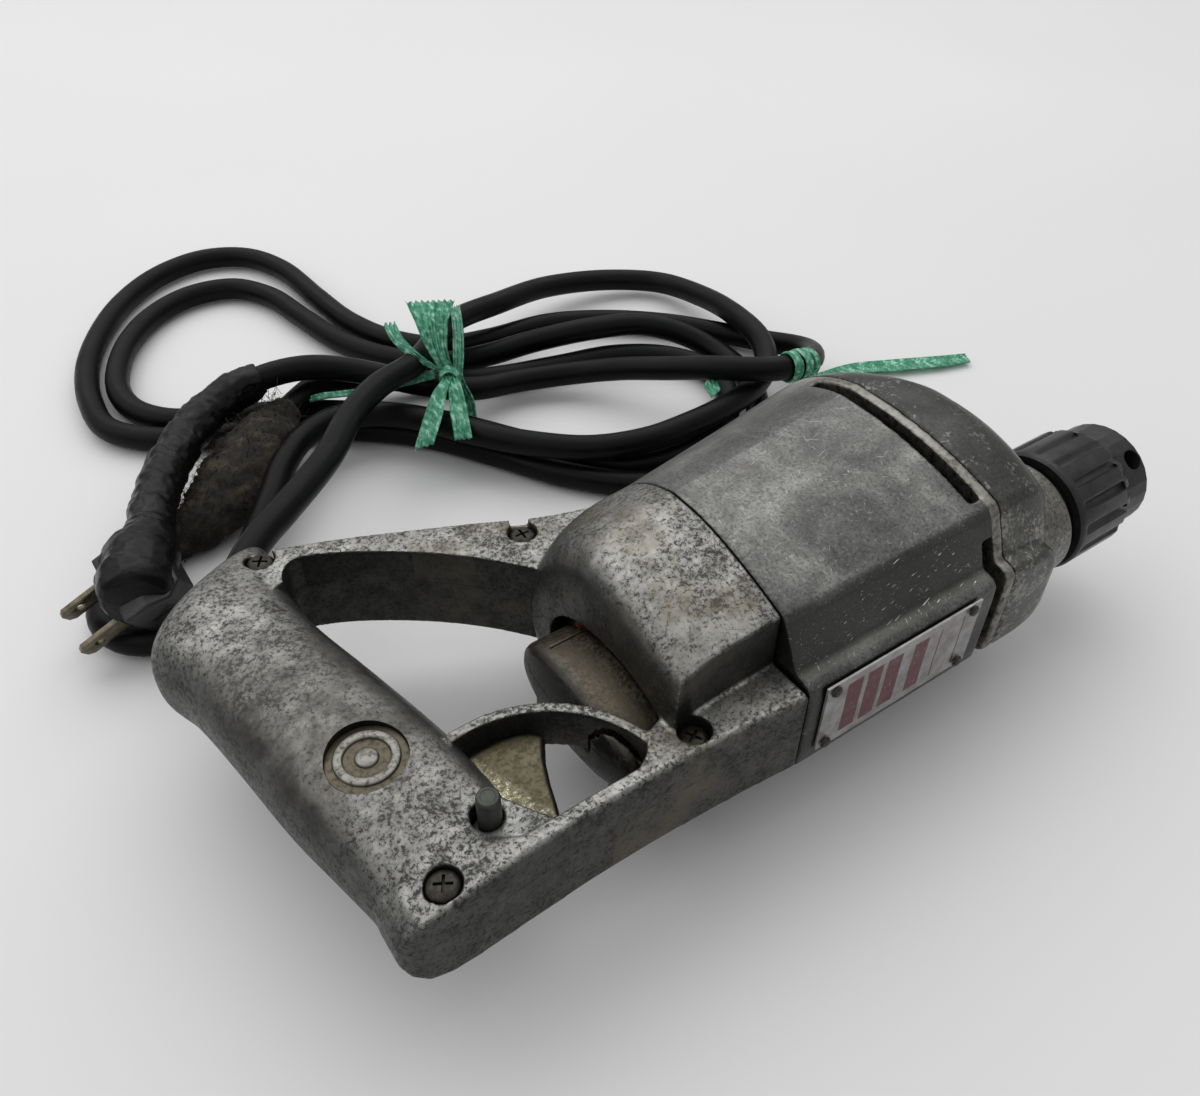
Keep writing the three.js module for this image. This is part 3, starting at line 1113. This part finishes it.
function tieArch() {
  const across = new THREE.Vector2(0.416, 0.909);
  const middle = new THREE.Vector2(-85, 184.5).addScaledVector(across, 17);
  const [halfWide, top, power] = [28.6, 36, 2 / 2.6];
  const arch = new THREE.Shape();
  const trace = (grow, flip) => Array.from({ length: 17 }, (_, i) => {
    const t = Math.PI * (flip ? 1 - i / 16 : i / 16);
    const c = Math.cos(t);
    return [(halfWide + grow) * Math.sign(c) * Math.abs(c) ** power, (top + grow) * Math.abs(Math.sin(t)) ** power + 0.4];
  });
  const points = [...trace(TIE_SHEET, false), ...trace(0, true)];
  points.forEach(([n, h], i) => (i ? arch.lineTo(n, h) : arch.moveTo(n, h)));
  const band = new THREE.ExtrudeGeometry(arch, { depth: 8, bevelEnabled: false });
  const frame = new THREE.Matrix4().makeBasis(
    new THREE.Vector3(across.x, across.y, 0), new THREE.Vector3(0, 0, 1), new THREE.Vector3(across.y, -across.x, 0));
  frame.setPosition(middle.x - across.y * 4, middle.y + across.x * 4, TABLE_Z);
  const knot = rod(3.2, [0, top - 0.5, 1], [0, top + 5, 7], 8);
  const fan = box(-7, 7, top + 3.4, top + 4.4, -14, 2);
  return solid(band).add(knot).add(fan).transform([...frame.elements]);
}

// A flat strip of film along a line of points
function filmStrip(points, wide) {
  const pieces = [];
  for (let i = 0; i + 1 < points.length; i += 1) {
    const from = new THREE.Vector3(...points[i]);
    const to = new THREE.Vector3(...points[i + 1]);
    const ahead = to.clone().sub(from);
    const strip = new THREE.BoxGeometry(ahead.length() + TIE_SHEET, wide, TIE_SHEET);
    ahead.normalize();
    const across = new THREE.Vector3(-ahead.y, ahead.x, 0).normalize();
    const up = new THREE.Vector3().crossVectors(ahead, across);
    pieces.push(solid(strip.applyMatrix4(
      new THREE.Matrix4().makeBasis(ahead, across, up).setPosition(from.lerp(to, 0.5)))));
  }
  return union(...pieces);
}

const TIE_TAIL = [
  [14.5, 113, 15.9], [24, 117, 9], [40, 121, 1.4], [57, 119.4, 0.9], [74, 112, 0.9], [90, 104.6, 0.9], [102, 99.5, 0.9],
].map(([x, y, height]) => [x, y, TABLE_Z + height]);

function tieBand() {
  const from = lengthAt(LEAD.length + HANK.length - 8);
  const bore = CORD_D / 2 + 1.5;
  const ring = tube(from, from + 9, bore + TIE_SHEET, 2, 12).add(filmStrip(TIE_TAIL, 8));
  return ring.subtract(tube(from - 2, from + 11, bore, 3, 12));
}

// The pieces of the drill
add("handle_frame", handleFrame(), FINISH.casting);
add("handle_cover", handleCover(), FINISH.casting);
SCREWS.forEach((screw, i) => add(`handle_screw_${i + 1}`, handleScrew(screw), FINISH.screw));
add("motor_housing", motorHousing(), FINISH.darkCasting);
add("bearing_plate", bearingPlate(), FINISH.casting);
add("gear_case", gearCase(), FINISH.darkCasting);
CASE_SCREWS.forEach((screw, i) => add(`case_screw_${i + 1}`, caseScrew(screw), FINISH.screw));
add("nameplate", nameplate(), FINISH.plate);
PLATE_RIVETS.forEach((place, i) => add(`plate_rivet_${i + 1}`, rivet(place), FINISH.screw));
add("field_core", fieldCore(), FINISH.steel);
add("field_coil_1", fieldCoil(0), FINISH.copper);
add("field_coil_2", fieldCoil(180), FINISH.copper);
add("armature_shaft", armatureShaft(), FINISH.steel);
add("armature_core", armatureCore(), FINISH.steel);
add("armature_winding", armatureWinding(), FINISH.copper);
add("commutator", commutator(), FINISH.copper);
add("fan", fan(), FINISH.casting);
add("front_bearing", bearing(FRONT_BEARING, MOTOR_Y), FINISH.steel);
add("rear_bearing", bearing(REAR_BEARING, MOTOR_Y), FINISH.steel);
add("brush_holder_1", brushHolder(0), FINISH.resin);
add("brush_holder_2", brushHolder(180).mirror([0, 0, 1]), FINISH.resin);
add("carbon_brush_1", carbonBrush(0), FINISH.carbon);
add("carbon_brush_2", carbonBrush(180), FINISH.carbon);
add("idler_gear", idlerGear(), FINISH.steel);
add("idler_pin", cylinderX(IDLER_PIN_R, -40.4, -17.8, ...IDLER, 20), FINISH.steel);
add("spindle", spindle(), FINISH.steel);
add("spindle_gear", spindleGear(), FINISH.steel);
add("spindle_bush", ringX(4.8 + GAP, 5.2, -40.4, -35.8, 0, 0, 20), FINISH.brass);
add("spindle_bearing", bearing(BEARING, 0), FINISH.steel);
add("chuck_body", chuckBody(), FINISH.black);
add("chuck_sleeve", chuckSleeve(), FINISH.black);
JAW_ANGLES.forEach((angle, i) => add(`chuck_jaw_${i + 1}`, chuckJaw(angle), FINISH.steel));
add("trigger", trigger(), FINISH.brass);
add("trigger_pin", triggerPin(), FINISH.steel);
add("trigger_spring", triggerSpring(), FINISH.steel);
add("switch_body", switchBody(), FINISH.resin);
add("switch_plunger", switchPlunger(), FINISH.resin);
add("lock_pin", lockPin(), FINISH.darkCasting);
add("lock_spring", lockSpring(), FINISH.steel);

// The origin is the centre of the drill's own box, on the table
const drillBox = new THREE.Box3().setFromObject(root);
const middle = drillBox.getCenter(new THREE.Vector3());
root.position.set(-middle.x, -middle.y, -drillBox.min.z);

// The cord is left out of that box
add("cord_grommet", cordGrommet(), FINISH.rubber);
add("cord_lead", tube(0, LEAD_END, CORD_D / 2, 22, CORD_SIDES), FINISH.rubber);
add("cord_hank", tube(LEAD_END + GAP, HANK_END - GAP, CORD_D / 2, 150, 6), FINISH.rubber);
add("cord_tail", tube(HANK_END, cordLength - 1, CORD_D / 2, 24, CORD_SIDES), FINISH.rubber);
add("splice_tape", spliceTape(), FINISH.tape);
add("friction_wrap", frictionWrap(), FINISH.cloth);
add("plug_body", plugBody(), FINISH.rubber);
add("plug_blade_1", plugBlade(1), FINISH.steel);
add("plug_blade_2", plugBlade(-1), FINISH.steel);
add("tie_1", tieArch(), FINISH.film);
add("tie_2", tieBand(), FINISH.film);
console.log(`cord length ${cordLength.toFixed(0)} mm, least gap to itself ${leastGap().toFixed(2)} mm`);

export default root;
